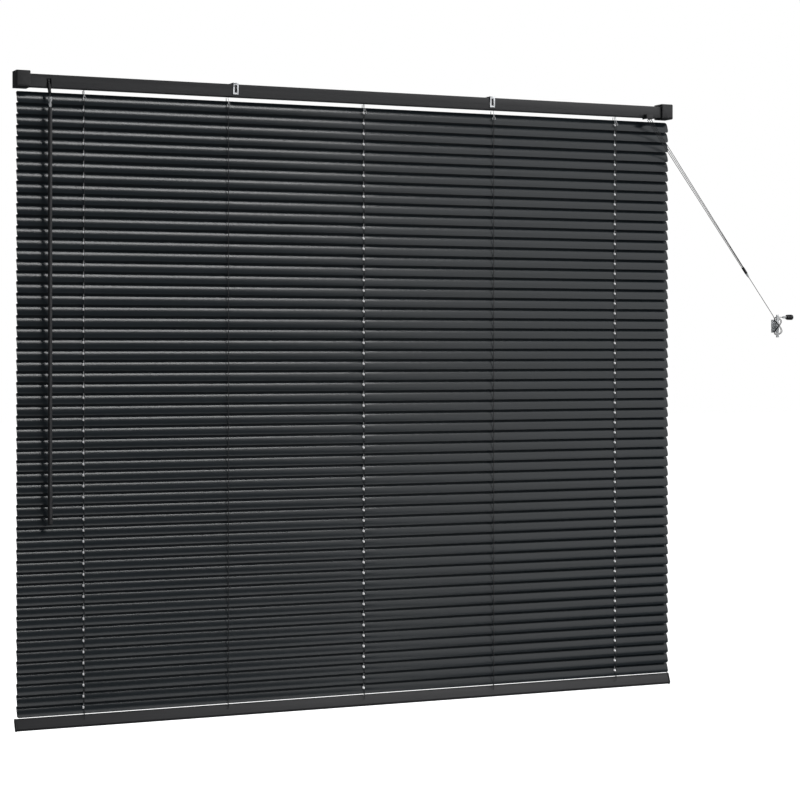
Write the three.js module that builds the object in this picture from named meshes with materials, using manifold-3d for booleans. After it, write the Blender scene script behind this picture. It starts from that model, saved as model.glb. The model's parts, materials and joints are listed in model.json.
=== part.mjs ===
// Aluminium venetian blind, 1500 mm wide and 1300 mm long, hung on a wall in its closed position.
// Millimetres, +Z up. The wall is the plane y = 0 and the room is on its -Y side.
// The origin is on the wall, midway along the headrail, level with the top of the end brackets.
import * as THREE from "three";
import { mergeVertices } from "three/addons/utils/BufferGeometryUtils.js";
import Module from "manifold-3d";

// Driving dimensions
const BLIND_Y = -17; // middle plane of the headrail and of the slats
const RAIL = { length: 1488, depth: 25, height: 25, wall: 1, top: -6 };
const BRACKET = { outer: 748, width: 28, depth: 34, height: 33.5, wall: 2.5, room: 0.5 };
const CLIP = { left: -291, right: 297, width: 12, sheet: 1.2, slotWidth: 5 };
const LADDER_SPACING = 304;
const LADDERS = [-2, -1, 0, 1, 2].map((n) => n * LADDER_SPACING);
const LIFT_X = [LADDERS[0], LADDERS[2], LADDERS[4]];
const SLAT = { count: 56, modelled: 24, length: 1488, width: 25, crown: 1.8, sheet: 0.4, rise: 1.5 };
const SLAT_TOP = -50.5; // centre line of the first slat
const SLAT_PITCH = 22;
const CLOSED = THREE.MathUtils.degToRad(68); // tilt of the closed slats, front edge down
const ROUTE_HOLE = { length: 4.4, width: 6 };
const CORD_RADIUS = 0.7;
const STRING_RADIUS = 0.65;
// Distances of the ladder strings from the middle plane, just clear of the slats' edges all the way round
const STRING_FRONT = 6.2;
const STRING_REAR = 8;
const BOTTOM_RAIL = { z: -1286.8, width: 25, height: 9, corner: 3, cap: 3 };
const ROD = { z: -20, radius: 2.6, left: -720, right: 630, drumRadius: 7, drumWidth: 10 };
const WAND = { x: -682, y: -38, top: -72, length: 822, radius: 4.8 };
const BALL = { z: -52, radius: 2.4 };
const WORM = { radius: 2.6, shaft: 1.5, length: 10, gearRadius: 6.6, gearWidth: 6, teeth: 16 };
const LOCK = { x: 684, width: 22 };
const EXIT = new THREE.Vector3(LOCK.x, -38, -37); // where the pull cords leave the cord lock
const CLEAT = { x: 1040, z: -495, height: 52, barWidth: 6 };
const CLEAT_START = new THREE.Vector3(CLEAT.x - 8, -14.5, CLEAT.z + 19);
const TASSEL = new THREE.Vector3(CLEAT.x + 14, -15, CLEAT.z + 20.5);
const JOINER = { along: 415, length: 28, radius: 3.2 };
const GAP = 0.3;
const ROUND = 24;

const wasm = await Module();
wasm.setup();

const COLOURS = {
  rail: ["#3b3b3c", 0.42, 0.35],
  slat: ["#2c3033", 0.35, 0.5],
  plastic: ["#262627", 0.5, 0.0],
  steel: ["#b9bbbd", 0.3, 1.0],
  clear: ["#c9cccd", 0.2, 0.0],
  string: ["#3a3b3d", 0.9, 0.0],
  cord: ["#8d9093", 0.9, 0.0],
};

const blind = new THREE.Group();

function material(kind) {
  const [color, roughness, metalness] = COLOURS[kind];
  return new THREE.MeshStandardMaterial({ color, roughness, metalness });
}

function add(name, kind, geometry) {
  const mesh = new THREE.Mesh(geometry, material(kind));
  mesh.name = name;
  blind.add(mesh);
  return mesh;
}

// A closed geometry as a solid that can be joined and cut.
function solid(geometry) {
  const bare = geometry.clone();
  bare.deleteAttribute("normal");
  bare.deleteAttribute("uv");
  const merged = mergeVertices(bare, 1e-4);
  return new wasm.Manifold(
    new wasm.Mesh({
      numProp: 3,
      vertProperties: merged.attributes.position.array,
      triVerts: new Uint32Array(merged.index.array),
    }),
  );
}

function geometryOf(made) {
  const mesh = made.getMesh();
  const geometry = new THREE.BufferGeometry();
  geometry.setAttribute("position", new THREE.BufferAttribute(mesh.vertProperties, 3));
  geometry.setIndex(new THREE.BufferAttribute(mesh.triVerts, 1));
  return geometry.toNonIndexed();
}

// A box between two corners.
function box(low, high) {
  const size = high.map((h, i) => h - low[i]);
  const middle = high.map((h, i) => (h + low[i]) / 2);
  return new THREE.BoxGeometry(...size).translate(...middle);
}

function cut(body, ...tools) {
  return tools.reduce((left, tool) => left.subtract(solid(tool)), body);
}

function join(body, ...others) {
  return others.reduce((whole, other) => whole.add(solid(other)), body);
}

// An outline in the Y-Z plane, drawn counter-clockwise, run along X from x0 to x1.
function prism(outline, x0, x1) {
  const shape = new THREE.Shape(outline.map(([y, z]) => new THREE.Vector2(y, z)));
  const geometry = new THREE.ExtrudeGeometry(shape, { depth: x1 - x0, bevelEnabled: false });
  const turn = new THREE.Matrix4().makeBasis(
    new THREE.Vector3(0, 1, 0),
    new THREE.Vector3(0, 0, 1),
    new THREE.Vector3(1, 0, 0),
  );
  return geometry.applyMatrix4(turn).translate(x0, 0, 0);
}

// A rod with its axis along X.
function rodX(radius, x0, x1, y, z, sides = ROUND) {
  const rod = new THREE.CylinderGeometry(radius, radius, x1 - x0, sides).rotateZ(Math.PI / 2);
  return rod.translate((x0 + x1) / 2, y, z);
}

// A rod with its axis along Z.
function rodZ(radius, z0, z1, x, y, sides = 8) {
  const rod = new THREE.CylinderGeometry(radius, radius, z1 - z0, sides).rotateX(Math.PI / 2);
  return rod.translate(x, y, (z0 + z1) / 2);
}

// A turned piece: its profile of [radius, distance] runs from the axis back to the axis.
function turned(profile, from, direction, sides = ROUND) {
  const points = profile.map(([radius, along]) => new THREE.Vector2(radius, along));
  const geometry = new THREE.LatheGeometry(points, sides);
  const up = new THREE.Vector3(0, 1, 0);
  const turn = new THREE.Quaternion().setFromUnitVectors(up, direction.clone().normalize());
  return geometry.applyQuaternion(turn).translate(from.x, from.y, from.z);
}

// A cord through hand-chosen points.
function cord(points, steps, radius = CORD_RADIUS) {
  const section = new THREE.Shape();
  section.absarc(0, 0, radius, 0, Math.PI * 2);
  const path = new THREE.CatmullRomCurve3(points);
  return new THREE.ExtrudeGeometry(section, { extrudePath: path, steps, curveSegments: 4 });
}

// Headrail: a channel open at the top, slotted below for the ladders, the tilter and the cord lock.
function headrail() {
  const half = RAIL.length / 2;
  const front = BLIND_Y - RAIL.depth / 2;
  const back = BLIND_Y + RAIL.depth / 2;
  const bottom = RAIL.top - RAIL.height;
  const w = RAIL.wall;
  const lip = 2.5;
  const section = [
    [front, bottom],
    [back, bottom],
    [back, RAIL.top],
    [back - lip, RAIL.top],
    [back - lip, RAIL.top - w],
    [back - w, RAIL.top - w],
    [back - w, bottom + w],
    [front + w, bottom + w],
    [front + w, RAIL.top - w],
    [front + lip, RAIL.top - w],
    [front + lip, RAIL.top],
    [front, RAIL.top],
  ];
  const slots = LADDERS.map((x) => box([x - 7, BLIND_Y - 9, bottom - 1], [x + 7, BLIND_Y + 9, bottom + 2]));
  const stemRoom = box([WAND.x - 5, front - 1, bottom - 1], [WAND.x + 5, BLIND_Y - 5, bottom + 17]);
  const cordRoom = box([LOCK.x - 9, front - 1, bottom - 1], [LOCK.x + 9, BLIND_Y - 4, bottom + 6]);
  add("headrail", "rail", geometryOf(cut(solid(prism(section, -half, half)), ...slots, stemRoom, cordRoom)));
}

// End brackets: boxes that hold the ends of the headrail against the wall or the ceiling.
function endBracket(name, side) {
  const inner = BRACKET.outer - BRACKET.width;
  const room = BRACKET.room;
  const x = (a, b) => [Math.min(side * a, side * b), Math.max(side * a, side * b)];
  const [x0, x1] = x(inner, BRACKET.outer);
  const [c0, c1] = x(inner - 1, BRACKET.outer - BRACKET.wall);
  const chamfer = 2;
  const low = -BRACKET.height;
  const outline = [
    [-BRACKET.depth + chamfer, low],
    [0, low],
    [0, 0],
    [-BRACKET.depth + chamfer, 0],
    [-BRACKET.depth, -chamfer],
    [-BRACKET.depth, low + chamfer],
  ];
  const cavity = box(
    [c0, BLIND_Y - RAIL.depth / 2 - room, RAIL.top - RAIL.height - room],
    [c1, BLIND_Y + RAIL.depth / 2 + room, RAIL.top + room],
  );
  add(name, "plastic", geometryOf(cut(solid(prism(outline, x0, x1)), cavity)));
}

// Centre clips: sheet-steel straps over the headrail, with a slotted tongue on its face.
function centreClip(name, x) {
  const s = CLIP.sheet;
  const front = BLIND_Y - RAIL.depth / 2 - 0.5;
  const top = RAIL.top + 3;
  const outline = [
    [-s, -28],
    [0, -28],
    [0, top],
    [front - s, top],
    [front - s, -27],
    [front, -27],
    [front, top - s],
    [-s, top - s],
  ];
  const strap = solid(prism(outline, x - CLIP.width / 2, x + CLIP.width / 2));
  const slot = box([x - CLIP.slotWidth / 2, front - s - 1, -23], [x + CLIP.slotWidth / 2, front + 1, -8]);
  const screwHole = new THREE.CylinderGeometry(2.2, 2.2, 4, ROUND).translate(x, 0, -17);
  add(name, "steel", geometryOf(cut(strap, slot, screwHole)));
}

// Tilter: worm, gear and the housing around them.
function tilter() {
  const ball = new THREE.Vector3(WAND.x, WAND.y, BALL.z);
  const rodCentre = new THREE.Vector3(WAND.x, BLIND_Y, ROD.z);
  const toRod = rodCentre.clone().sub(ball);
  const meshDistance = WORM.gearRadius + WORM.radius + GAP;
  const lean = Math.asin(meshDistance / toRod.length());
  const direction = toRod.clone().normalize().applyAxisAngle(new THREE.Vector3(1, 0, 0), lean);
  const toWorm = toRod.length() * Math.cos(lean);
  const start = toWorm - WORM.length / 2;
  const end = toWorm + WORM.length / 2;
  const neck = 0.8;
  const stem = turned(
    [
      [0, -BALL.radius],
      [BALL.radius * 0.8, -BALL.radius * 0.6],
      [BALL.radius, 0],
      [BALL.radius * 0.8, BALL.radius * 0.6],
      [neck, BALL.radius * 0.95],
      [WORM.shaft, 7],
      [WORM.shaft, start],
      [WORM.radius, start + 1],
      [WORM.radius, end - 1],
      [WORM.shaft, end],
      [0, end],
    ],
    ball,
    direction,
  );
  add("tilter_worm", "steel", stem);

  const gear = new THREE.Shape();
  for (let i = 0; i < WORM.teeth * 2; i += 1) {
    const angle = (i / (WORM.teeth * 2)) * Math.PI * 2;
    const radius = i % 2 ? WORM.gearRadius - 0.9 : WORM.gearRadius;
    const at = [radius * Math.cos(angle), radius * Math.sin(angle)];
    if (i === 0) gear.moveTo(...at);
    else gear.lineTo(...at);
  }
  const bore = new THREE.Path();
  bore.absarc(0, 0, ROD.radius + GAP, 0, Math.PI * 2, true);
  gear.holes.push(bore);
  const wheel = new THREE.ExtrudeGeometry(gear, { depth: WORM.gearWidth, bevelEnabled: false, curveSegments: 8 });
  wheel.translate(0, 0, -WORM.gearWidth / 2).rotateY(Math.PI / 2);
  add("tilter_gear", "plastic", wheel.translate(WAND.x, BLIND_Y, ROD.z));

  const cheek = 1.6;
  const inside = WORM.gearWidth / 2 + 1;
  const outside = inside + cheek;
  const low = [WAND.x - outside, BLIND_Y - 10.8, RAIL.top - RAIL.height + RAIL.wall + GAP];
  const high = [WAND.x + outside, BLIND_Y + 10.8, RAIL.top - 3];
  const hollow = box(
    [WAND.x - inside, low[1] - 1, low[2] + cheek],
    [WAND.x + inside, high[1] - cheek, high[2] + 1],
  );
  const stemRoom = box([WAND.x - 3, low[1] - 1, low[2] - 1], [WAND.x + 3, BLIND_Y - 5, low[2] + 3]);
  const rodRoom = rodX(ROD.radius + GAP, low[0] - 1, high[0] + 1, BLIND_Y, ROD.z);
  add("tilter_housing", "plastic", geometryOf(cut(solid(box(low, high)), hollow, stemRoom, rodRoom)));
}

// Tilt rod with one ladder drum above each ladder.
function tiltRod() {
  const drums = LADDERS.map((x) =>
    rodX(ROD.drumRadius, x - ROD.drumWidth / 2, x + ROD.drumWidth / 2, BLIND_Y, ROD.z),
  );
  const rod = solid(rodX(ROD.radius, ROD.left, ROD.right, BLIND_Y, ROD.z, 6));
  add("tilt_rod", "steel", geometryOf(join(rod, ...drums)));
}

// Wand and the clear hook that hangs it on the tilter's ball.
function wand() {
  const down = new THREE.Vector3(0, 0, -1);
  const socket = 3.1;
  const skin = 1;
  const rim = -1;
  const hook = [
    [socket, rim],
    [socket + skin, rim],
    [socket + skin, 7],
    [2, 10],
    [2.8, 13],
    [2.8, 17],
    [1.5, 19.7],
    [0, 19.7],
    [0, 4],
    [socket, 4],
    [socket, rim],
  ];
  add("wand_hook", "clear", turned(hook, new THREE.Vector3(WAND.x, WAND.y, BALL.z), down));
  const r = WAND.radius;
  const grip = 70;
  const profile = [
    [0, 0],
    [r * 0.7, 0],
    [r * 0.85, 2],
    [r * 0.85, WAND.length - grip],
    [r, WAND.length - grip + 4],
    [r, WAND.length - 2],
    [r * 0.7, WAND.length],
    [0, WAND.length],
  ];
  add("wand", "plastic", turned(profile, new THREE.Vector3(WAND.x, WAND.y, WAND.top), down, 12));
}

// Cord lock: a housing in the headrail with a snout below its front edge, and the roller that jams the cords.
function cordLock() {
  const half = LOCK.width / 2;
  const bottom = RAIL.top - RAIL.height;
  const body = solid(box(
    [LOCK.x - half, BLIND_Y - 10.8, bottom + RAIL.wall + GAP],
    [LOCK.x + half, BLIND_Y + 8, -14],
  ));
  const snout = box([LOCK.x - 8, EXIT.y - 3, EXIT.z + 1], [LOCK.x + 8, BLIND_Y - 5, bottom + 5]);
  const chamber = box([LOCK.x - 6, BLIND_Y - 9.5, bottom - 8], [LOCK.x + 6, BLIND_Y + 4, -16]);
  const throat = box([LOCK.x - 7, EXIT.y - 1.5, EXIT.z - 1], [LOCK.x + 7, BLIND_Y - 6, bottom + 3.5]);
  add("cord_lock_housing", "plastic", geometryOf(cut(join(body, snout), chamber, throat)));
  add("cord_lock_roller", "steel", rodX(2.2, LOCK.x - 5, LOCK.x + 5, BLIND_Y - 4, -24));
}

// One slat, built flat and crown up about its tilt axis, which runs through its middle, above its edges.
function slatGeometry() {
  const half = SLAT.width / 2;
  const radius = (half * half + SLAT.crown * SLAT.crown) / (2 * SLAT.crown);
  const reach = Math.asin(half / radius);
  const drop = radius - SLAT.crown + SLAT.rise;
  const segments = 8;
  const arc = (r) =>
    Array.from({ length: segments + 1 }, (_, i) => {
      const angle = reach * (1 - (2 * i) / segments);
      return [r * Math.sin(angle), r * Math.cos(angle) - drop];
    });
  const outline = [...arc(radius), ...arc(radius - SLAT.sheet).reverse()];
  const length = SLAT.length / 2;
  const holes = LIFT_X.map((x) =>
    box(
      [x - ROUTE_HOLE.length / 2, -ROUTE_HOLE.width / 2, -5],
      [x + ROUTE_HOLE.length / 2, ROUTE_HOLE.width / 2, 5],
    ),
  );
  return geometryOf(cut(solid(prism(outline, -length, length)), ...holes));
}

function slats() {
  const geometry = slatGeometry();
  for (let i = 0; i < SLAT.modelled; i += 1) {
    const index = Math.round((i * (SLAT.count - 1)) / (SLAT.modelled - 1));
    const number = String(index + 1).padStart(2, "0");
    const mesh = add("slat_" + number, "slat", geometry.clone());
    mesh.rotation.x = CLOSED;
    mesh.position.set(0, BLIND_Y, SLAT_TOP - SLAT_PITCH * index);
  }
}

// Bottom rail, closed like the slats, with an end cap on each end.
function bottomRail() {
  const half = BOTTOM_RAIL.width / 2;
  const tall = BOTTOM_RAIL.height / 2;
  const c = BOTTOM_RAIL.corner;
  const outline = [
    [-half + c, -tall],
    [half - c, -tall],
    [half, -tall + c],
    [half, tall - c],
    [half - c, tall],
    [-half + c, tall],
    [-half, tall - c],
    [-half, -tall + c],
  ];
  const length = SLAT.length / 2;
  const place = (mesh) => {
    mesh.rotation.x = CLOSED;
    mesh.position.set(0, BLIND_Y, BOTTOM_RAIL.z);
  };
  place(add("bottom_rail", "rail", prism(outline, -length, length)));
  const grown = outline.map(([y, z]) => [y * 1.06, z * 1.12]);
  const cap = BOTTOM_RAIL.cap;
  place(add("bottom_rail_cap_left", "plastic", prism(grown, -length - GAP - cap, -length - GAP)));
  place(add("bottom_rail_cap_right", "plastic", prism(grown, length + GAP, length + GAP + cap)));
}

// Lift cords through the slats' route holes, and the two strings of each ladder.
function cordsInBlind() {
  const railBottom = RAIL.top - RAIL.height;
  LIFT_X.forEach((x, i) => {
    add("lift_cord_" + (i + 1), "cord", rodZ(CORD_RADIUS, -1272.5, railBottom - 0.5, x, BLIND_Y));
  });
  LADDERS.forEach((x, i) => {
    const front = BLIND_Y - STRING_FRONT;
    const rear = BLIND_Y + STRING_REAR;
    add("ladder_front_" + (i + 1), "string", rodZ(STRING_RADIUS, -1283, -46, x, front));
    add("ladder_rear_" + (i + 1), "string", rodZ(STRING_RADIUS, -1270, railBottom - 2, x, rear));
  });
}

// The way that the pull cords run, from the cord lock to the cleat.
const PULL = CLEAT_START.clone().sub(EXIT).normalize();

function along(distance) {
  return EXIT.clone().addScaledVector(PULL, distance);
}

// Three pull cords, side by side at the cord lock and bunched at the joiner.
function pullCords() {
  const end = along(JOINER.along - GAP);
  const across = PULL.clone().cross(new THREE.Vector3(0, 1, 0)).normalize();
  const out = PULL.clone().cross(across);
  [-1, 0, 1].forEach((n, i) => {
    const start = EXIT.clone().add(new THREE.Vector3(n * 5, 0, n * 0.5));
    const finish = end.clone().addScaledVector(across, n * 1.9).addScaledVector(out, n ? 0 : 0.9);
    const points = [0, 0.15, 0.35, 0.6, 0.85, 1].map((t) => start.clone().lerp(finish, t));
    add("pull_cord_" + (i + 1), "cord", cord(points, 24));
  });
}

function joiner() {
  const r = JOINER.radius;
  const long = JOINER.length;
  const profile = [
    [0, 0],
    [r, 0],
    [r, 16],
    [r * 0.8, long - 6],
    [r * 0.45, long],
    [0, long],
  ];
  add("cord_joiner", "clear", turned(profile, along(JOINER.along), PULL));
}

// Draw cord: straight from the joiner to the cleat, two figures of eight round its horns, then out to the tassel.
function drawCord() {
  const points = [0, 0.35, 0.7, 0.93].map((t) =>
    along(JOINER.along + JOINER.length + GAP).lerp(CLEAT_START, t),
  );
  const turns = 2;
  const perTurn = 14;
  for (let i = 0; i <= turns * perTurn + 1; i += 1) {
    const s = (i / perTurn) * Math.PI * 2 - 0.35;
    const wide = 8 + 1.1 * (i / perTurn);
    const tall = 17 + 1.9 * (i / perTurn);
    const lift = 6.4 + (2 * (s - Math.PI / 2)) / Math.PI;
    points.push(new THREE.Vector3(
      CLEAT.x + wide * Math.sin(2 * s),
      -12 - lift * Math.sin(s) ** 2,
      CLEAT.z + tall * Math.cos(s),
    ));
  }
  points.push(TASSEL.clone().add(new THREE.Vector3(-6, 1.2, 0)));
  points.push(TASSEL.clone().add(new THREE.Vector3(-GAP, 0, 0)));
  add("draw_cord", "cord", cord(points, 90));
}

// Tassel on the end of the draw cord.
function tassel() {
  const profile = [
    [0, 0],
    [2.4, 0],
    [3, 8],
    [5, 10],
    [6.2, 14],
    [6.2, 25],
    [5, 27],
    [0, 27],
  ];
  add("cord_tassel", "plastic", turned(profile, TASSEL, new THREE.Vector3(1, 0, 0)));
}

// Cleat: a base on the wall, a neck and a bar whose two ends are the horns.
function cleat() {
  const { x, z } = CLEAT;
  const w = CLEAT.barWidth / 2;
  const half = CLEAT.height / 2;
  const base = solid(box([x - 7, -2.5, z - 15], [x + 7, 0, z + 15]));
  const neck = box([x - w, -14.5, z - 7], [x + w, -2, z + 7]);
  const bar = box([x - w, -16.8, z - half], [x + w, -13.8, z + half]);
  const holeUp = new THREE.CylinderGeometry(2, 2, 8, ROUND).translate(x, 0, z + 11);
  const holeDown = new THREE.CylinderGeometry(2, 2, 8, ROUND).translate(x, 0, z - 11);
  add("cord_cleat", "clear", geometryOf(cut(join(base, neck, bar), holeUp, holeDown)));
}

headrail();
endBracket("end_bracket_left", -1);
endBracket("end_bracket_right", 1);
centreClip("centre_clip_left", CLIP.left);
centreClip("centre_clip_right", CLIP.right);
tilter();
tiltRod();
wand();
cordLock();
slats();
bottomRail();
cordsInBlind();
pullCords();
joiner();
drawCord();
tassel();
cleat();

export default blind;
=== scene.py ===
"""An aluminium venetian blind in its closed position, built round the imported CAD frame."""
import json
import math
import random

import bmesh
import bpy
from mathutils import Matrix, Vector

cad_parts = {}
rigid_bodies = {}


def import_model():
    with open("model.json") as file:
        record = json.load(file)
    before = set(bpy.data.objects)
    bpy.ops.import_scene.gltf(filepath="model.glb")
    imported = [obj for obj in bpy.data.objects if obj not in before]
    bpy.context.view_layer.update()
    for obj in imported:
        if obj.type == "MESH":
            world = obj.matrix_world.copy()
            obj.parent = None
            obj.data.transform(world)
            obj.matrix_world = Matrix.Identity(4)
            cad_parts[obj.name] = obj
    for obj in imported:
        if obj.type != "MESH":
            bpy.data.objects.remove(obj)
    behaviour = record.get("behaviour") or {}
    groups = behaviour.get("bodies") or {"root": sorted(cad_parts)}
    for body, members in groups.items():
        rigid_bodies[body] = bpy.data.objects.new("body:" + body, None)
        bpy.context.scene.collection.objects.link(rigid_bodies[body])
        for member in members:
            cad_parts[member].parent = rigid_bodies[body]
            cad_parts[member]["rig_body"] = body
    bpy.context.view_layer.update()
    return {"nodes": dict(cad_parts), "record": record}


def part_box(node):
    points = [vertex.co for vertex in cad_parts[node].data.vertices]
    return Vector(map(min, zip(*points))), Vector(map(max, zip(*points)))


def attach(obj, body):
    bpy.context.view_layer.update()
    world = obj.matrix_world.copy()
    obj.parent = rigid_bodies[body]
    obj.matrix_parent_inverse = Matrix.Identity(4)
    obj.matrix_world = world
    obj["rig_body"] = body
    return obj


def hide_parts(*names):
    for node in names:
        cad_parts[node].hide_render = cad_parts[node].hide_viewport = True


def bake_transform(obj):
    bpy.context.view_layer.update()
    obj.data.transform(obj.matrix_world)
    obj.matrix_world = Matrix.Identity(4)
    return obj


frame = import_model()
MM = 0.001

# ---------------------------------------------------------------- places taken from the frame

JOINTS = {j["name"]: j for j in frame["record"]["behaviour"]["joints"]}
CLOSED = math.radians(JOINTS["tilt"]["range_deg"][1])
BLIND_Y = JOINTS["tilt"]["pos_m"][1]
SLAT_COUNT = 56
TOP_SLAT = JOINTS["slat_01_tilt"]["pos_m"][2]
LOW_SLAT = JOINTS["slat_56_tilt"]["pos_m"][2]
PITCH = (TOP_SLAT - LOW_SLAT) / (SLAT_COUNT - 1)
MODELLED = [n for n in range(1, SLAT_COUNT + 1) if f"slat_{n:02d}_tilt" in JOINTS]


def middle(node):
    low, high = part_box(node)
    return [(a + b) / 2 for a, b in zip(low, high)]


LADDER_X = [middle(f"ladder_front_{n}")[0] for n in range(1, 6)]
LIFT_X = [middle(f"lift_cord_{n}")[0] for n in range(1, 4)]
FRONT_Y = middle("ladder_front_1")[1]
REAR_Y = middle("ladder_rear_1")[1]
SLAT_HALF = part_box("slat_01")[1][0]
SLAT_WIDTH = 25 * MM
SLAT_CORNER = 4.5 * MM
SLAT_SHEET = 0.28 * MM
CROWN = 1.8 * MM
RISE = 1.5 * MM  # how far the slat's middle stands above its edges' mean, at the tilt axis


# ---------------------------------------------------------------- camera, stage and light

CAMERA_AT = Vector((-1.849, -4.259, -0.5454))
CAMERA_YAW = math.radians(24.5)
CAMERA_LENS = 98.9
CAMERA_SHIFT_Y = -0.065
FLOOR_HALF = 30.0
FLOOR_Z = -1.75
LIGHTS_AIM = Vector((0, 0, -0.6))
LIGHTS = (  # name, place, width and height, watts
    ("key", (2.85, -2.4, 1.3), (3.5, 3.2), 58),
    ("overhead", (3.6, -8.7, 9.7), (3.8, 2.0), 330),
    ("front", (0.6, -4.8, -0.4), (3.4, 1.2), 26),
    ("back", (1.2, 3.4, 1.0), (2.4, 1.2), 40),
)


def aim(obj, at):
    obj.rotation_euler = (Vector(at) - obj.location).to_track_quat("-Z", "Y").to_euler()


def camera():
    """Level, from the left of the blind, with a long lens, and shifted down so that the uprights stay upright."""
    data = bpy.data.cameras.new("camera")
    cam = bpy.data.objects.new("camera", data)
    bpy.context.scene.collection.objects.link(cam)
    cam.location = CAMERA_AT
    aim(cam, cam.location + Vector((math.sin(CAMERA_YAW), math.cos(CAMERA_YAW), 0)))
    data.lens = CAMERA_LENS
    data.shift_y = CAMERA_SHIFT_Y
    data.clip_end = 100
    bpy.context.scene.camera = cam


def area(name, place, size, power):
    data = bpy.data.lights.new(name, "AREA")
    data.shape = "RECTANGLE"
    data.size, data.size_y = size
    data.energy = power
    lamp = bpy.data.objects.new(name, data)
    lamp.location = place
    aim(lamp, LIGHTS_AIM)
    bpy.context.scene.collection.objects.link(lamp)


def white_world():
    """White to the camera, and a dim soft room in light and reflections."""
    world = bpy.data.worlds.new("studio")
    world.use_nodes = True
    tree = world.node_tree
    room = tree.nodes["Background"]
    room.inputs["Color"].default_value = (0.92, 0.96, 1.0, 1)
    room.inputs["Strength"].default_value = 0.10
    white = tree.nodes.new("ShaderNodeBackground")
    white.inputs["Color"].default_value = (1, 1, 1, 1)
    seen = tree.nodes.new("ShaderNodeLightPath")
    mix = tree.nodes.new("ShaderNodeMixShader")
    tree.links.new(seen.outputs["Is Camera Ray"], mix.inputs["Fac"])
    tree.links.new(room.outputs["Background"], mix.inputs[1])
    tree.links.new(white.outputs["Background"], mix.inputs[2])
    tree.links.new(mix.outputs["Shader"], tree.nodes["World Output"].inputs["Surface"])
    bpy.context.scene.world = world


def floor():
    """A plain white floor below the blind, kept out of its light and reflections."""
    mat = bpy.data.materials.new("studio_floor")
    mat.use_nodes = True
    shade = mat.node_tree.nodes["Principled BSDF"]
    shade.inputs["Base Color"].default_value = (0.85, 0.85, 0.85, 1)
    shade.inputs["Roughness"].default_value = 0.9
    shade.inputs["Emission Color"].default_value = (1, 1, 1, 1)
    shade.inputs["Emission Strength"].default_value = 1.0
    mesh = bpy.data.meshes.new("studio_floor")
    corners = [(x * FLOOR_HALF, y * FLOOR_HALF, FLOOR_Z) for x, y in ((-1, -1), (1, -1), (1, 1), (-1, 1))]
    mesh.from_pydata(corners, [], [(0, 1, 2, 3)])
    mesh.materials.append(mat)
    ground = bpy.data.objects.new("studio_floor", mesh)
    bpy.context.scene.collection.objects.link(ground)
    ground.visible_glossy = False
    ground.visible_diffuse = False


def studio():
    white_world()
    floor()
    bpy.context.scene.view_settings.view_transform = "Standard"
    for name, place, size, power in LIGHTS:
        area(name, place, size, power)


camera()
studio()


# ---------------------------------------------------------------- materials

def principled(name, colour, roughness, metallic=0.0):
    """A material with its node tree and its shader."""
    mat = bpy.data.materials.new(name)
    mat.use_nodes = True
    node = mat.node_tree.nodes["Principled BSDF"]
    node.inputs["Base Color"].default_value = (*colour, 1)
    node.inputs["Roughness"].default_value = roughness
    node.inputs["Metallic"].default_value = metallic
    return mat, mat.node_tree, node


def object_coords(tree, scale):
    coords = tree.nodes.new("ShaderNodeTexCoord")
    mapping = tree.nodes.new("ShaderNodeMapping")
    mapping.inputs["Scale"].default_value = scale
    tree.links.new(coords.outputs["Object"], mapping.inputs["Vector"])
    return mapping.outputs["Vector"]


def noise(tree, vector, scale, detail=3.0):
    node = tree.nodes.new("ShaderNodeTexNoise")
    node.inputs["Scale"].default_value = scale
    node.inputs["Detail"].default_value = detail
    tree.links.new(vector, node.inputs["Vector"])
    return node.outputs["Fac"]


def spread(tree, fac, low, high):
    """The middle half of a noise, stretched from low to high."""
    node = tree.nodes.new("ShaderNodeMapRange")
    node.inputs["From Min"].default_value = 0.25
    node.inputs["From Max"].default_value = 0.75
    node.inputs["To Min"].default_value = low
    node.inputs["To Max"].default_value = high
    tree.links.new(fac, node.inputs["Value"])
    return node.outputs["Result"]


def blend_colours(tree, fac, dark, light):
    ramp = tree.nodes.new("ShaderNodeValToRGB")
    ramp.color_ramp.elements[0].color = (*dark, 1)
    ramp.color_ramp.elements[1].color = (*light, 1)
    ramp.color_ramp.elements[0].position = 0.3
    ramp.color_ramp.elements[1].position = 0.7
    tree.links.new(fac, ramp.inputs["Fac"])
    return ramp.outputs["Color"]


def bump(tree, shader, height, strength, distance):
    node = tree.nodes.new("ShaderNodeBump")
    node.inputs["Strength"].default_value = strength
    node.inputs["Distance"].default_value = distance
    tree.links.new(height, node.inputs["Height"])
    tree.links.new(node.outputs["Normal"], shader.inputs["Normal"])


def enamel(name, dark, light, rough, gloss):
    """Satin stove enamel on rolled aluminium: faint cloudiness along the strip and a fine orange peel."""
    mat, tree, shader = principled(name, light, rough[0])
    long_way = object_coords(tree, (1.5, 60, 60))
    tree.links.new(blend_colours(tree, noise(tree, long_way, 2.2), dark, light), shader.inputs["Base Color"])
    fine = object_coords(tree, (1, 1, 1))
    tree.links.new(spread(tree, noise(tree, fine, 260), *rough), shader.inputs["Roughness"])
    bump(tree, shader, noise(tree, fine, 1400, 2.0), 0.12, 0.0002)
    shader.inputs["Specular IOR Level"].default_value = gloss
    return mat


def moulded(name, dark, light, rough):
    """Fine-grained moulded plastic."""
    mat, tree, shader = principled(name, light, rough[0])
    at = object_coords(tree, (1, 1, 1))
    tree.links.new(blend_colours(tree, noise(tree, at, 90), dark, light), shader.inputs["Base Color"])
    tree.links.new(spread(tree, noise(tree, at, 600), *rough), shader.inputs["Roughness"])
    bump(tree, shader, noise(tree, at, 2600, 2.0), 0.25, 0.0002)
    return mat


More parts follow.
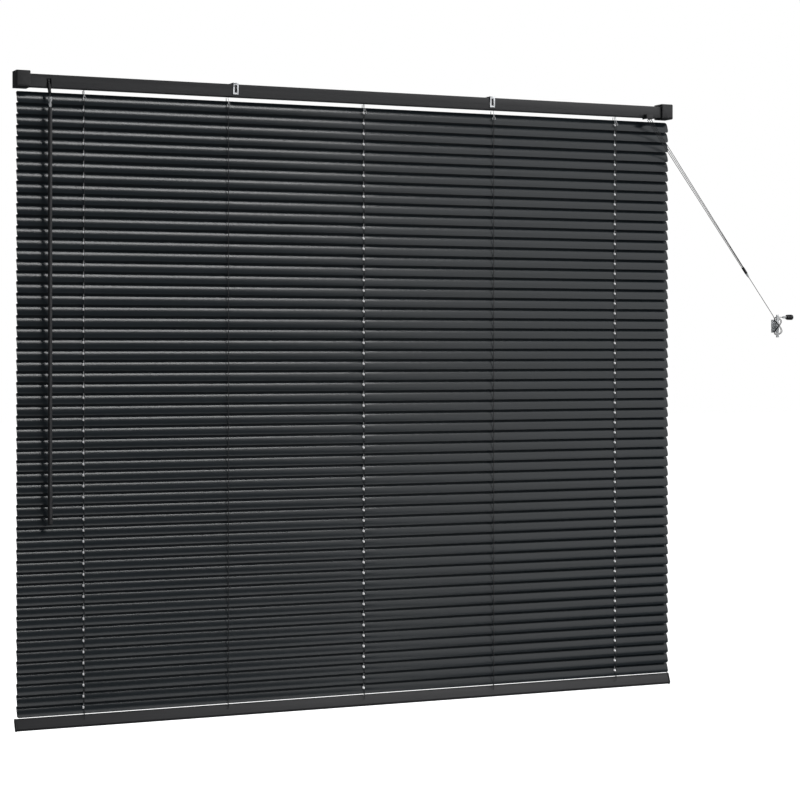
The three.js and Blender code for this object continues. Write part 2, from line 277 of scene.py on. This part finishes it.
def zinc(name):
    """Bright zinc plate, a little streaked."""
    mat, tree, shader = principled(name, (0.62, 0.63, 0.65), 0.3, 1.0)
    at = object_coords(tree, (1, 1, 12))
    tint = blend_colours(tree, noise(tree, at, 120), (0.5, 0.51, 0.53), (0.72, 0.73, 0.74))
    tree.links.new(tint, shader.inputs["Base Color"])
    tree.links.new(spread(tree, noise(tree, at, 500), 0.22, 0.42), shader.inputs["Roughness"])
    bump(tree, shader, noise(tree, at, 1500), 0.1, 0.0001)
    return mat


def clear_plastic(name, dark, light):
    """Milky see-through plastic."""
    mat, tree, shader = principled(name, light, 0.18)
    at = object_coords(tree, (1, 1, 1))
    tint = blend_colours(tree, noise(tree, at, 150), dark, light)
    tree.links.new(tint, shader.inputs["Base Color"])
    tree.links.new(spread(tree, noise(tree, at, 420), 0.12, 0.3), shader.inputs["Roughness"])
    shader.inputs["Transmission Weight"].default_value = 0.35
    bump(tree, shader, noise(tree, at, 900), 0.08, 0.0002)
    return mat


def braid(name, dark, light):
    """Braided polyester: crossed strands about half a millimetre long."""
    mat, tree, shader = principled(name, light, 0.85)
    strands = []
    for slant in (1, -1):
        at = object_coords(tree, (1, 1, 1))
        wave = tree.nodes.new("ShaderNodeTexWave")
        wave.bands_direction = "DIAGONAL"
        wave.inputs["Scale"].default_value = 420 * slant
        wave.inputs["Distortion"].default_value = 1.5
        tree.links.new(at, wave.inputs["Vector"])
        strands.append(wave.outputs["Fac"])
    mix = tree.nodes.new("ShaderNodeMath")
    mix.operation = "MAXIMUM"
    tree.links.new(strands[0], mix.inputs[0])
    tree.links.new(strands[1], mix.inputs[1])
    tree.links.new(blend_colours(tree, mix.outputs[0], dark, light), shader.inputs["Base Color"])
    bump(tree, shader, mix.outputs[0], 0.6, 0.0002)
    shader.inputs["Sheen Weight"].default_value = 0.3
    return mat


SLAT_PAINT = enamel("slat_enamel", (0.015, 0.020, 0.024), (0.023, 0.029, 0.034), (0.16, 0.22), 0.32)
RAIL_PAINT = enamel("rail_enamel", (0.040, 0.040, 0.042), (0.050, 0.050, 0.053), (0.42, 0.52), 0.4)
BLACK = moulded("black_plastic", (0.020, 0.020, 0.022), (0.034, 0.034, 0.036), (0.42, 0.6))
WAND_GREY = moulded("wand_plastic", (0.034, 0.034, 0.036), (0.05, 0.05, 0.053), (0.35, 0.5))
ZINC = zinc("zinc_plate")
PALE = clear_plastic("pale_clear_plastic", (0.74, 0.76, 0.77), (0.88, 0.89, 0.9))
HOOK = moulded("pale_plastic", (0.62, 0.63, 0.64), (0.74, 0.75, 0.76), (0.35, 0.5))
STRING = braid("ladder_braid", (0.012, 0.012, 0.014), (0.04, 0.04, 0.044))
LIFT = braid("lift_braid", (0.62, 0.63, 0.64), (0.80, 0.81, 0.82))
PULL = braid("pull_braid", (0.022, 0.022, 0.024), (0.05, 0.05, 0.053))
BLACK_BRAID = braid("draw_braid", (0.008, 0.008, 0.009), (0.02, 0.02, 0.021))


# ---------------------------------------------------------------- mesh helpers

MERGE = 0.001 * MM  # vertices nearer than this become one


def piece(name, mesh, mat, smooth_angle=40):
    """An object with one material, smooth but for its sharp edges."""
    mesh.materials.clear()
    mesh.materials.append(mat)
    for polygon in mesh.polygons:
        polygon.use_smooth = True
    mesh.set_sharp_from_angle(angle=math.radians(smooth_angle))
    obj = bpy.data.objects.new(name, mesh)
    bpy.context.scene.collection.objects.link(obj)
    return obj


def mesh_from(name, verts, faces):
    """A mesh with its seams joined and its faces turned outward."""
    mesh = bpy.data.meshes.new(name)
    mesh.from_pydata(verts, [], faces)
    bm = bmesh.new()
    bm.from_mesh(mesh)
    bmesh.ops.remove_doubles(bm, verts=bm.verts, dist=MERGE)
    bmesh.ops.recalc_face_normals(bm, faces=bm.faces)
    bm.to_mesh(mesh)
    bm.free()
    return mesh


def skin(rings, sides):
    """Faces between neighbouring rings of vertices."""
    faces = []
    for i in range(rings - 1):
        for k in range(sides):
            j = (k + 1) % sides
            faces.append((i * sides + k, i * sides + j, (i + 1) * sides + j, (i + 1) * sides + k))
    return faces


def tube(path, radius, sides=10):
    """Vertices and faces of a closed tube along points."""
    path = [Vector(p) for p in path]
    tangent = (path[1] - path[0]).normalized()
    normal = tangent.orthogonal().normalized()
    verts = []
    for i, at in enumerate(path):
        ahead = path[min(i + 1, len(path) - 1)] - path[max(i - 1, 0)]
        ahead.normalize()
        normal = (normal - ahead * normal.dot(ahead)).normalized()
        side = ahead.cross(normal)
        for k in range(sides):
            a = 2 * math.pi * k / sides
            verts.append(at + radius * (math.cos(a) * normal + math.sin(a) * side))
    faces = skin(len(path), sides)
    faces.append(tuple(reversed(range(sides))))
    faces.append(tuple(range((len(path) - 1) * sides, len(path) * sides)))
    return verts, faces


def gather(parts):
    """Several vertex and face lists as one."""
    verts, faces = [], []
    for some, more in parts:
        base = len(verts)
        verts += list(some)
        faces += [tuple(base + i for i in face) for face in more]
    return verts, faces


def lathe(profile, origin, direction, sides=40):
    """A turned solid from [radius, distance] pairs, running from the axis back to the axis."""
    along = Vector(direction).normalized()
    u = along.orthogonal().normalized()
    v = along.cross(u)
    origin = Vector(origin)
    verts = []
    for radius, distance in profile:
        for k in range(sides):
            a = 2 * math.pi * k / sides
            verts.append(origin + along * distance + radius * (math.cos(a) * u + math.sin(a) * v))
    return verts, skin(len(profile), sides)


def softened(node, mat, width):
    """The node's own shape with rounded edges, standing for it."""
    source = next(o for o in bpy.context.scene.objects if o.name == node)
    mesh = source.data.copy()
    bm = bmesh.new()
    bm.from_mesh(mesh)
    bmesh.ops.remove_doubles(bm, verts=bm.verts, dist=MERGE)
    bmesh.ops.dissolve_limit(bm, angle_limit=math.radians(1), verts=bm.verts, edges=bm.edges)
    sharp = [e for e in bm.edges if len(e.link_faces) == 2 and e.calc_face_angle(0) > math.radians(35)]
    bmesh.ops.bevel(
        bm, geom=sharp, offset=width, segments=3, profile=0.5, affect="EDGES", clamp_overlap=True
    )
    bm.to_mesh(mesh)
    bm.free()
    obj = piece(node + "_finish", mesh, mat)
    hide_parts(node)
    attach(obj, source["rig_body"])
    return obj


def braided(name, path, radius, mat, sides):
    """A round string or cord along a path."""
    verts, faces = tube(path, radius, sides)
    return piece(name, mesh_from(name, verts, faces), mat)


def smooth_path(points, steps):
    """A Catmull-Rom line through the points."""
    points = [Vector(p) for p in points]
    ends = [2 * points[0] - points[1], *points, 2 * points[-1] - points[-2]]
    line = []
    for i in range(1, len(ends) - 2):
        before, here, there, after = ends[i - 1 : i + 3]
        for k in range(steps):
            t = k / steps
            line.append(
                0.5
                * (
                    2 * here
                    + (there - before) * t
                    + (2 * before - 5 * here + 4 * there - after) * t**2
                    + (3 * here - before - 3 * there + after) * t**3
                )
            )
    return [*line, points[-1]]


# ---------------------------------------------------------------- the cords that hang free

CORD_RADIUS = 0.7 * MM
CORD_SIDES = 12
GAP = 0.3 * MM
LOCK_X = middle("cord_lock_roller")[0]
EXIT = Vector((LOCK_X, -38 * MM, -37 * MM))
CLEAT_AT = Vector((middle("cord_cleat")[0], 0, middle("cord_cleat")[2]))
CLEAT_START = CLEAT_AT + Vector((-8, -14.5, 19)) * MM
TASSEL_AT = CLEAT_AT + Vector((14, -15, 20.5)) * MM
PULL_WAY = (CLEAT_START - EXIT).normalized()
JOINER_ALONG = 415 * MM
JOINER_RADIUS = 3.2 * MM
JOINER_LONG = 28 * MM


def along(distance):
    return EXIT + PULL_WAY * distance


def joiner():
    """A dark barrel over the ends of the three pull cords, and the clear tip that the draw cord leaves."""
    r = JOINER_RADIUS
    split = 17 * MM
    barrel = [(0, 0), (r * 0.84, 0), (r * 0.97, 0.3 * MM), (r, 0.8 * MM)]
    for ring in range(4):
        at = (2.2 + 3.2 * ring) * MM
        barrel += [(r, at), (r * 0.9, at + 0.4 * MM), (r * 0.9, at + 1.1 * MM), (r, at + 1.5 * MM)]
    barrel += [(r * 0.98, split - 0.8 * MM), (r * 0.86, split), (0, split)]
    tip = [
        (0, split + 0.1 * MM),
        (r * 0.86, split + 0.1 * MM),
        (r * 0.88, split + 2 * MM),
        (r * 0.8, JOINER_LONG - 6 * MM),
        (r * 0.6, JOINER_LONG - 2 * MM),
        (r * 0.45, JOINER_LONG),
        (0, JOINER_LONG),
    ]
    made = []
    for name, profile, mat, slot in (
        ("joiner_barrel", barrel, BLACK, "plastic"),
        ("joiner_tip", tip, PALE, "clear"),
    ):
        obj = piece(name, mesh_from(name, *lathe(profile, along(JOINER_ALONG), PULL_WAY)), mat)
        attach(obj, "root")
        made.append(obj)
    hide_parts("cord_joiner")
    return made


def pull_cords(on_them):
    """Three cords, side by side at the cord lock and bunched at the joiner."""
    end = along(JOINER_ALONG - GAP)
    across = PULL_WAY.cross(Vector((0, 1, 0))).normalized()
    out = PULL_WAY.cross(across)
    for i, n in enumerate((-1, 0, 1)):
        start = EXIT + Vector((n * 5, 0, n * 0.5)) * MM
        finish = end + across * n * 1.9 * MM + out * (0 if n else 0.9 * MM)
        points = [start.lerp(finish, t) for t in (0, 0.15, 0.35, 0.6, 0.85, 1)]
        path = smooth_path(points, 12)
        name = f"pull_cord_{i + 1}_braid"
        obj = braided(name, path, CORD_RADIUS, PULL, CORD_SIDES)
        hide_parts(f"pull_cord_{i + 1}")
        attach(obj, "root")


def tassel():
    """A barrel tassel with a pale neck and shallow rings."""
    neck = [(0, 0), (1.7, 0), (2.3, 0.5), (2.6, 4.0), (3.0, 8.0), (3.3, 8.6), (0, 8.6)]
    barrel = [(0, 8.8), (3.4, 8.8), (4.6, 9.6), (5.6, 11.4), (6.0, 13.2)]
    for ring in range(4):
        at = 14.0 + ring * 2.4
        barrel += [(5.75, at), (5.75, at + 0.7), (6.1, at + 1.1), (6.2, at + 1.8)]
    barrel += [(6.2, 24.4), (5.8, 25.8), (4.9, 26.8), (4.0, 27.0), (1.7, 27.0), (1.5, 26.2), (0, 26.2)]
    made = []
    for name, profile, mat, slot in (
        ("tassel_neck", neck, PALE, "clear"),
        ("tassel_barrel", barrel, BLACK, "plastic"),
    ):
        turned = [(r * MM, d * MM) for r, d in profile]
        obj = piece(name, mesh_from(name, *lathe(turned, TASSEL_AT, (1, 0, 0), 48)), mat)
        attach(obj, "root")
        made.append(obj)
    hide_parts("cord_tassel")
    return made


def draw_cord(on_it):
    """Straight from the joiner to the cleat, two figures of eight round its horns, then out to the tassel."""
    start = along(JOINER_ALONG + JOINER_LONG + GAP)
    points = [start.lerp(CLEAT_START, t) for t in (0, 0.35, 0.7, 0.93)]
    turns, per_turn = 2, 14
    for i in range(turns * per_turn + 2):
        s = (i / per_turn) * math.pi * 2 - 0.35
        wide = 8 + 1.1 * i / per_turn
        tall = 17 + 1.9 * i / per_turn
        lift = 6.4 + 2 * (s - math.pi / 2) / math.pi
        points.append(
            CLEAT_AT
            + Vector((wide * math.sin(2 * s), -12 - lift * math.sin(s) ** 2, tall * math.cos(s))) * MM
        )
    points.append(TASSEL_AT + Vector((-6, 1.2, 0)) * MM)
    points.append(TASSEL_AT + Vector((-0.3, 0, 0)) * MM)
    path = smooth_path(points, 8)
    obj = braided("draw_cord_braid", path, CORD_RADIUS, BLACK_BRAID, CORD_SIDES)
    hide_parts("draw_cord")
    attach(obj, "root")


pull_cords(joiner())
draw_cord(tassel())


# ---------------------------------------------------------------- slats

TURN = Matrix.Rotation(CLOSED, 3, "X")
HOLE_HALF = (2.2 * MM, 3 * MM)  # half the length and half the width of a cord hole
SLAT_ROWS = 18  # rows of faces across a slat
HOLE_SHARE = 0.23  # the middle share of a slat's width whose vertices move to the rim of a hole
WAVE_LENGTH = 300 * MM


def slat_centre(index):
    return Vector((0, BLIND_Y, TOP_SLAT - PITCH * index))


def placed(local, index):
    return TURN @ Vector(local) + slat_centre(index)


def slat_height(y):
    """Height of the sheet's middle above the tilt axis at a distance y across the slat."""
    half = SLAT_WIDTH / 2
    radius = (half * half + CROWN * CROWN) / (2 * CROWN)
    return math.sqrt(radius * radius - y * y) - (radius - CROWN) - RISE


def stations():
    """Where the slat has a row of vertices along its length: its ends, its holes and every 38 mm."""
    ends = [SLAT_HALF - SLAT_CORNER * (1 - math.sin(math.pi / 2 * i / 5)) for i in range(6)]
    hole = [x + HOLE_HALF[0] * d for x in LIFT_X for d in (-1, -0.92, -0.7, -0.35, 0, 0.35, 0.7, 0.92, 1)]
    step = 38 * MM
    count = int((SLAT_HALF - SLAT_CORNER) / step)
    plain = [i * step for i in range(-count, count + 1)]
    plain = [x for x in plain if all(abs(x - h) > 9 * MM for h in LIFT_X)]
    return sorted([-x for x in ends] + plain + hole + ends)


def hole_half_width(x):
    """Half the width of an oval cord hole at x, or 0 outside it."""
    near = min(abs(x - h) for h in LIFT_X) / HOLE_HALF[0]
    return HOLE_HALF[1] * math.sqrt(max(0.0, 1 - near * near)) if near < 1.001 else 0


def slat_sheet(index):
    """One thin, crowned slat with round corners and three cord holes, as a closed shell."""
    rng = random.Random(100 + index)
    waves = [(rng.uniform(0.01, 0.03) * MM, rng.uniform(0.25, 0.9), rng.uniform(0, 6.3)) for _ in range(3)]
    half = SLAT_WIDTH / 2
    xs = stations()
    rows = SLAT_ROWS
    verts, grid = [], {}
    for i, x in enumerate(xs):
        end = max(0.0, abs(x) - (SLAT_HALF - SLAT_CORNER))
        reach = half - SLAT_CORNER + math.sqrt(max(0.0, SLAT_CORNER**2 - end * end))
        open_half = hole_half_width(x)
        bow = sum(a * math.sin(2 * math.pi * f * x / WAVE_LENGTH + p) for a, f, p in waves)
        for j in range(rows + 1):
            y = reach * (2 * j / rows - 1)
            inner = abs(2 * j / rows - 1)
            if open_half and inner < HOLE_SHARE:
                y = math.copysign(open_half, y) if abs(y) > 0 else 0.0
            grid[i, j] = len(verts)
            verts.append(placed((x, y, slat_height(y) + bow * (1 - inner * 0.5)), index))
    faces = []
    in_hole = [all(abs(2 * k / rows - 1) < HOLE_SHARE for k in (j, j + 1)) for j in range(rows)]
    for i in range(len(xs) - 1):
        mid = (xs[i] + xs[i + 1]) / 2
        cut = min(abs(mid - h) for h in LIFT_X) < HOLE_HALF[0]
        for j in range(rows):
            if cut and in_hole[j]:
                continue
            faces.append((grid[i, j], grid[i + 1, j], grid[i + 1, j + 1], grid[i, j + 1]))
    name = f"slat_{index + 1:02d}_sheet"
    mesh = bpy.data.meshes.new(name)
    mesh.from_pydata(verts, [], faces)
    bm = bmesh.new()
    bm.from_mesh(mesh)
    bmesh.ops.remove_doubles(bm, verts=bm.verts, dist=2 * MERGE)
    loose = [v for v in bm.verts if not v.link_faces]
    bmesh.ops.delete(bm, geom=loose, context="VERTS")
    bmesh.ops.recalc_face_normals(bm, faces=bm.faces)
    bmesh.ops.solidify(bm, geom=bm.faces[:], thickness=SLAT_SHEET)
    bmesh.ops.recalc_face_normals(bm, faces=bm.faces)
    bm.to_mesh(mesh)
    bm.free()
    return piece(name, mesh, SLAT_PAINT, 50)


def slats():
    """Each slat on its own body where it has one, and fixed in place, on no body, where it hasn't."""
    for index in range(SLAT_COUNT):
        obj = slat_sheet(index)
        number = index + 1
        if number in MODELLED:
            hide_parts(f"slat_{number:02d}")
            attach(obj, f"slat_{number:02d}")
        else:
            across_blend(obj)


def across_blend(obj):
    """Its placement baked into its mesh; it stays on no body and does not turn."""
    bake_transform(obj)


# ---------------------------------------------------------------- ladders and lift cords

STRING_RADIUS = 0.65 * MM
RUNG_SPREAD = 1.1 * MM  # how far each half of a doubled rung lies from the ladder's middle
RUNG_RADIUS = 0.35 * MM


def rung_path(x, index, offset):
    """From the front string, under the slat, to the rear string."""
    centre = slat_centre(index)
    under = -SLAT_SHEET / 2 - 1.5 * RUNG_RADIUS
    half = SLAT_WIDTH / 2
    ends = [Vector((x, FRONT_Y, centre.z - 12.7 * MM)), Vector((x, REAR_Y, centre.z + 11.2 * MM))]
    below = [placed((x + offset, y * half, -RISE + under), index) for y in (-1.0, -0.5, 0, 0.5, 1.0)]
    return [ends[0], *below, ends[1]]


def ladders():
    """Two strings a ladder, and a doubled rung under each slat, on the slat's own body where it has one."""
    for n, x in enumerate(LADDER_X, 1):
        for side, at_y in (("front", FRONT_Y), ("rear", REAR_Y)):
            node = f"ladder_{side}_{n}"
            low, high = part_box(node)
            count = 24
            path = [Vector((x, at_y, low.z + (high.z - low.z) * i / count)) for i in range(count + 1)]
            obj = braided(node + "_braid", path, STRING_RADIUS, STRING, 10)
            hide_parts(node)
            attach(obj, f"ladder_{side}")
        for index in range(SLAT_COUNT):
            parts = [
                tube(smooth_path(rung_path(x, index, side * RUNG_SPREAD), 3), RUNG_RADIUS, 6) for side in (-1, 1)
            ]
            name = f"rung_{n}_{index + 1:02d}"
            obj = piece(name, mesh_from(name, *gather(parts)), STRING)
            if index + 1 in MODELLED:
                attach(obj, f"slat_{index + 1:02d}")
            else:
                across_blend(obj)


def ladder_heads():
    """A pale two-legged hook that hangs from each drum by a strand and holds the front string."""
    rail_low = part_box("headrail")[0].z
    for n, x in enumerate(LADDER_X, 1):
        apex = Vector((x + 0.6 * MM, FRONT_Y + 1.2 * MM, rail_low - 10 * MM))
        up = Vector((x, BLIND_Y - 2 * MM, rail_low + 2 * MM))
        strand = braided(f"ladder_strand_{n}", [up, up.lerp(apex, 0.5), apex], 0.35 * MM, STRING, 8)
        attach(strand, "root")
        foot = Vector((x, FRONT_Y, apex.z - 11 * MM))
        parts = []
        for side in (-1, 1):
            leg = [
                apex,
                apex.lerp(foot, 0.35) + Vector((side * 0.8, -1.1, 0)) * MM,
                foot + Vector((side * 3.6, -1.3, 2)) * MM,
                foot + Vector((side * 3.2, -1.3, 0)) * MM,
            ]
            parts.append(tube(smooth_path(leg, 5), 0.55 * MM, 8))
        bar = [foot + Vector((side * 3.2, -1.3, 1.2)) * MM for side in (-1, 1)]
        parts.append(tube(bar, 0.45 * MM, 8))
        name = f"ladder_hook_{n}"
        obj = piece(name, mesh_from(name, *gather(parts)), HOOK)
        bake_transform(obj)


def lift_cords():
    """Straight down through the holes in the slats."""
    for n, x in enumerate(LIFT_X, 1):
        node = f"lift_cord_{n}"
        low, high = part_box(node)
        count = 60
        path = [Vector((x, BLIND_Y, low.z + (high.z - low.z) * i / count)) for i in range(count + 1)]
        obj = braided(node + "_braid", path, CORD_RADIUS, LIFT, CORD_SIDES)
        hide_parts(node)
        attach(obj, "root")


slats()
ladders()
ladder_heads()
lift_cords()


# ---------------------------------------------------------------- headrail and its fittings

def hard_parts():
    """Finishes on the CAD's own shapes: rounded edges outside, and plain material on what is inside."""
    for node, mat, width, slot in (
        ("headrail", RAIL_PAINT, 0.35, "rail"),
        ("end_bracket_left", BLACK, 0.9, "plastic"),
        ("end_bracket_right", BLACK, 0.9, "plastic"),
        ("centre_clip_left", ZINC, 0.3, "steel"),
        ("centre_clip_right", ZINC, 0.3, "steel"),
        ("tilter_housing", BLACK, 0.4, "plastic"),
        ("cord_lock_housing", BLACK, 0.4, "plastic"),
        ("cord_cleat", PALE, 1.1, "clear"),
        ("bottom_rail", RAIL_PAINT, 0.8, "rail"),
        ("bottom_rail_cap_left", BLACK, 0.8, "plastic"),
        ("bottom_rail_cap_right", BLACK, 0.8, "plastic"),
    ):
        softened(node, mat, width * MM)
    for node, mat in (
        ("tilt_rod", ZINC), ("tilter_worm", BLACK), ("tilter_gear", BLACK), ("cord_lock_roller", ZINC),
    ):
        obj = frame["nodes"][node]
        obj.data.materials.clear()
        obj.data.materials.append(mat)


def screw(name, at, toward, radius):
    """A pan-head screw with a short shank."""
    outline = [
        (0, -0.9), (0.5, -0.9), (0.5, 0), (1, 0), (1, 0.25), (0.85, 0.5), (0.5, 0.62), (0, 0.66),
    ]
    head = [(share * radius, distance * radius) for share, distance in outline]
    obj = piece(name, mesh_from(name, *lathe(head, at, toward, 32)), ZINC)
    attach(obj, "root")


def bracket_covers():
    """The front cover of each end bracket: a plate with rounded edges, and a finger lip."""
    for node in ("end_bracket_left", "end_bracket_right"):
        low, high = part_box(node)
        inset = 1.6 * MM
        x0, x1 = low.x + inset, high.x - inset
        z0, z1 = low.z + 3.0 * MM, high.z - 3.0 * MM
        front, back = low.y - 0.7 * MM, low.y + 0.2 * MM
        bm = bmesh.new()
        bmesh.ops.create_cube(bm, size=1)
        for v in bm.verts:
            v.co = Vector((
                (x0 + x1) / 2 + v.co.x * (x1 - x0),
                (front + back) / 2 + v.co.y * (back - front),
                (z0 + z1) / 2 + v.co.z * (z1 - z0),
            ))
        upright = [e for e in bm.edges if abs(e.verts[0].co.y - e.verts[1].co.y) > 0.1 * MM]
        bmesh.ops.bevel(bm, geom=upright, offset=1.6 * MM, segments=5, profile=0.5, affect="EDGES")
        rim = [
            e for e in bm.edges
            if all(abs(v.co.y - front) < 0.01 * MM for v in e.verts) and len(e.link_faces) == 2
            and e.calc_face_angle(0) > 0.5
        ]
        bmesh.ops.bevel(bm, geom=rim, offset=0.35 * MM, segments=3, profile=0.5, affect="EDGES")
        mesh = bpy.data.meshes.new(node + "_cover")
        bm.to_mesh(mesh)
        bm.free()
        cover = piece(node + "_cover", mesh, BLACK)
        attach(cover, "root")
        lip_name = node + "_finger_lip"
        lip_path = [Vector((x, front, z0 + 1.6 * MM)) for x in (x0 + 3 * MM, x1 - 3 * MM)]
        lip = piece(lip_name, mesh_from(lip_name, *tube(lip_path, 0.6 * MM, 12)), BLACK)
        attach(lip, "root")


def cleat_screws():
    """Two screws through the middle of the cleat."""
    low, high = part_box("cord_cleat")
    x, z = (low.x + high.x) / 2, (low.z + high.z) / 2
    for n, dz in enumerate((11, -11), 1):
        screw(f"cleat_screw_{n}", (x, -2.6 * MM, z + dz * MM), (0, -1, 0), 2.6 * MM)


def rail_plugs():
    """Small plugs that hold each ladder in the bottom rail, on its lower face."""
    centre = Vector((0, BLIND_Y, middle("bottom_rail")[2]))
    down = TURN @ Vector((0, 0, -1))
    for n, x in enumerate(LADDER_X, 1):
        at = centre + Vector((x, 0, 0)) + down * 4.4 * MM
        profile = [(0, -1), (3.4, -1), (3.4, 0.5), (3.1, 0.9), (2.2, 1.2), (0, 1.3)]
        name = f"ladder_plug_{n}"
        made = lathe([(r * MM, d * MM) for r, d in profile], at, down, 32)
        obj = piece(name, mesh_from(name, *made), BLACK)
        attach(obj, "bottom_rail")


def wand_parts():
    """Wand with shallow flutes and a swelling grip, hung from the tilter's ball by a clear socket."""
    low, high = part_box("wand")
    x, y = (low.x + high.x) / 2, (low.y + high.y) / 2
    long = high.z - low.z
    r = (high.x - low.x) / 2
    rows = [
        (0, 0), (0.50, 0), (0.70, 0.8 * MM), (0.82, 2.4 * MM), (0.87, 6 * MM), (0.87, 0.25 * long),
        (0.87, 0.5 * long), (0.87, 0.75 * long), (0.87, long - 74 * MM), (0.90, long - 71 * MM),
        (0.98, long - 67 * MM), (1.0, long - 62 * MM), (1.0, long - 40 * MM), (1.0, long - 20 * MM),
        (1.0, long - 3.4 * MM), (0.93, long - 1.4 * MM), (0.72, long - 0.3 * MM), (0.5, long), (0, long),
    ]
    sides = 36
    verts = []
    for share, down in rows:
        for k in range(sides):
            a = 2 * math.pi * k / sides
            flute = 1 - 0.035 * (0.5 + 0.5 * math.cos(12 * a)) if 4 * MM < down < long - 2 * MM else 1
            reach = r * share * flute
            verts.append(Vector((x + reach * math.cos(a), y + reach * math.sin(a), high.z - down)))
    stick = piece("wand_stick", mesh_from("wand_stick", verts, skin(len(rows), sides)), WAND_GREY, 60)
    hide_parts("wand")
    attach(stick, "wand")

    hook_low, hook_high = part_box("wand_hook")
    outer = (hook_high.x - hook_low.x) / 2 / MM
    long = (hook_high.z - hook_low.z) / MM
    sleeve = [
        (outer - 1.0, 0), (outer - 0.35, 0), (outer, 0.4), (outer, 6.8), (outer - 0.4, 7.8), (outer - 1.7, 10.4),
        (2.0, 11.6), (2.1, 12.6), (2.7, 13.4), (2.8, 14.0), (2.8, 17.6), (2.3, 19.2), (1.4, long), (0, long),
        (0, 5.0), (outer - 1.4, 5.0), (outer - 1.0, 4.6), (outer - 1.0, 0),
    ]
    made = lathe([(a * MM, d * MM) for a, d in sleeve], (x, y, hook_high.z), (0, 0, -1), 40)
    socket = piece("wand_socket", mesh_from("wand_socket", *made), PALE)
    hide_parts("wand_hook")
    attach(socket, "wand_hook")


def tilter_snout():
    """The tilter's nose, a guessed sleeve round the worm's stem where it leaves the headrail. It has no CAD solid."""
    worm = JOINTS["tilter_worm_turn"]
    ball, way = Vector(worm["pos_m"]), Vector(worm["axis"])
    outside = [(2.5, 9), (2.9, 9.2), (3.1, 10), (3.2, 14), (3.6, 19), (3.6, 27), (3.3, 28)]
    inside = [(2.1, 28), (2.1, 9.4), (2.5, 9)]
    made = lathe([(r * MM, d * MM) for r, d in outside + inside], ball, way, 36)
    obj = piece("tilter_snout", mesh_from("tilter_snout", *made), BLACK)
    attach(obj, "root")


tilter_snout()
hard_parts()
bracket_covers()
cleat_screws()
rail_plugs()
wand_parts()

for node in frame["nodes"].values():
    for polygon in node.data.polygons:
        polygon.use_smooth = False
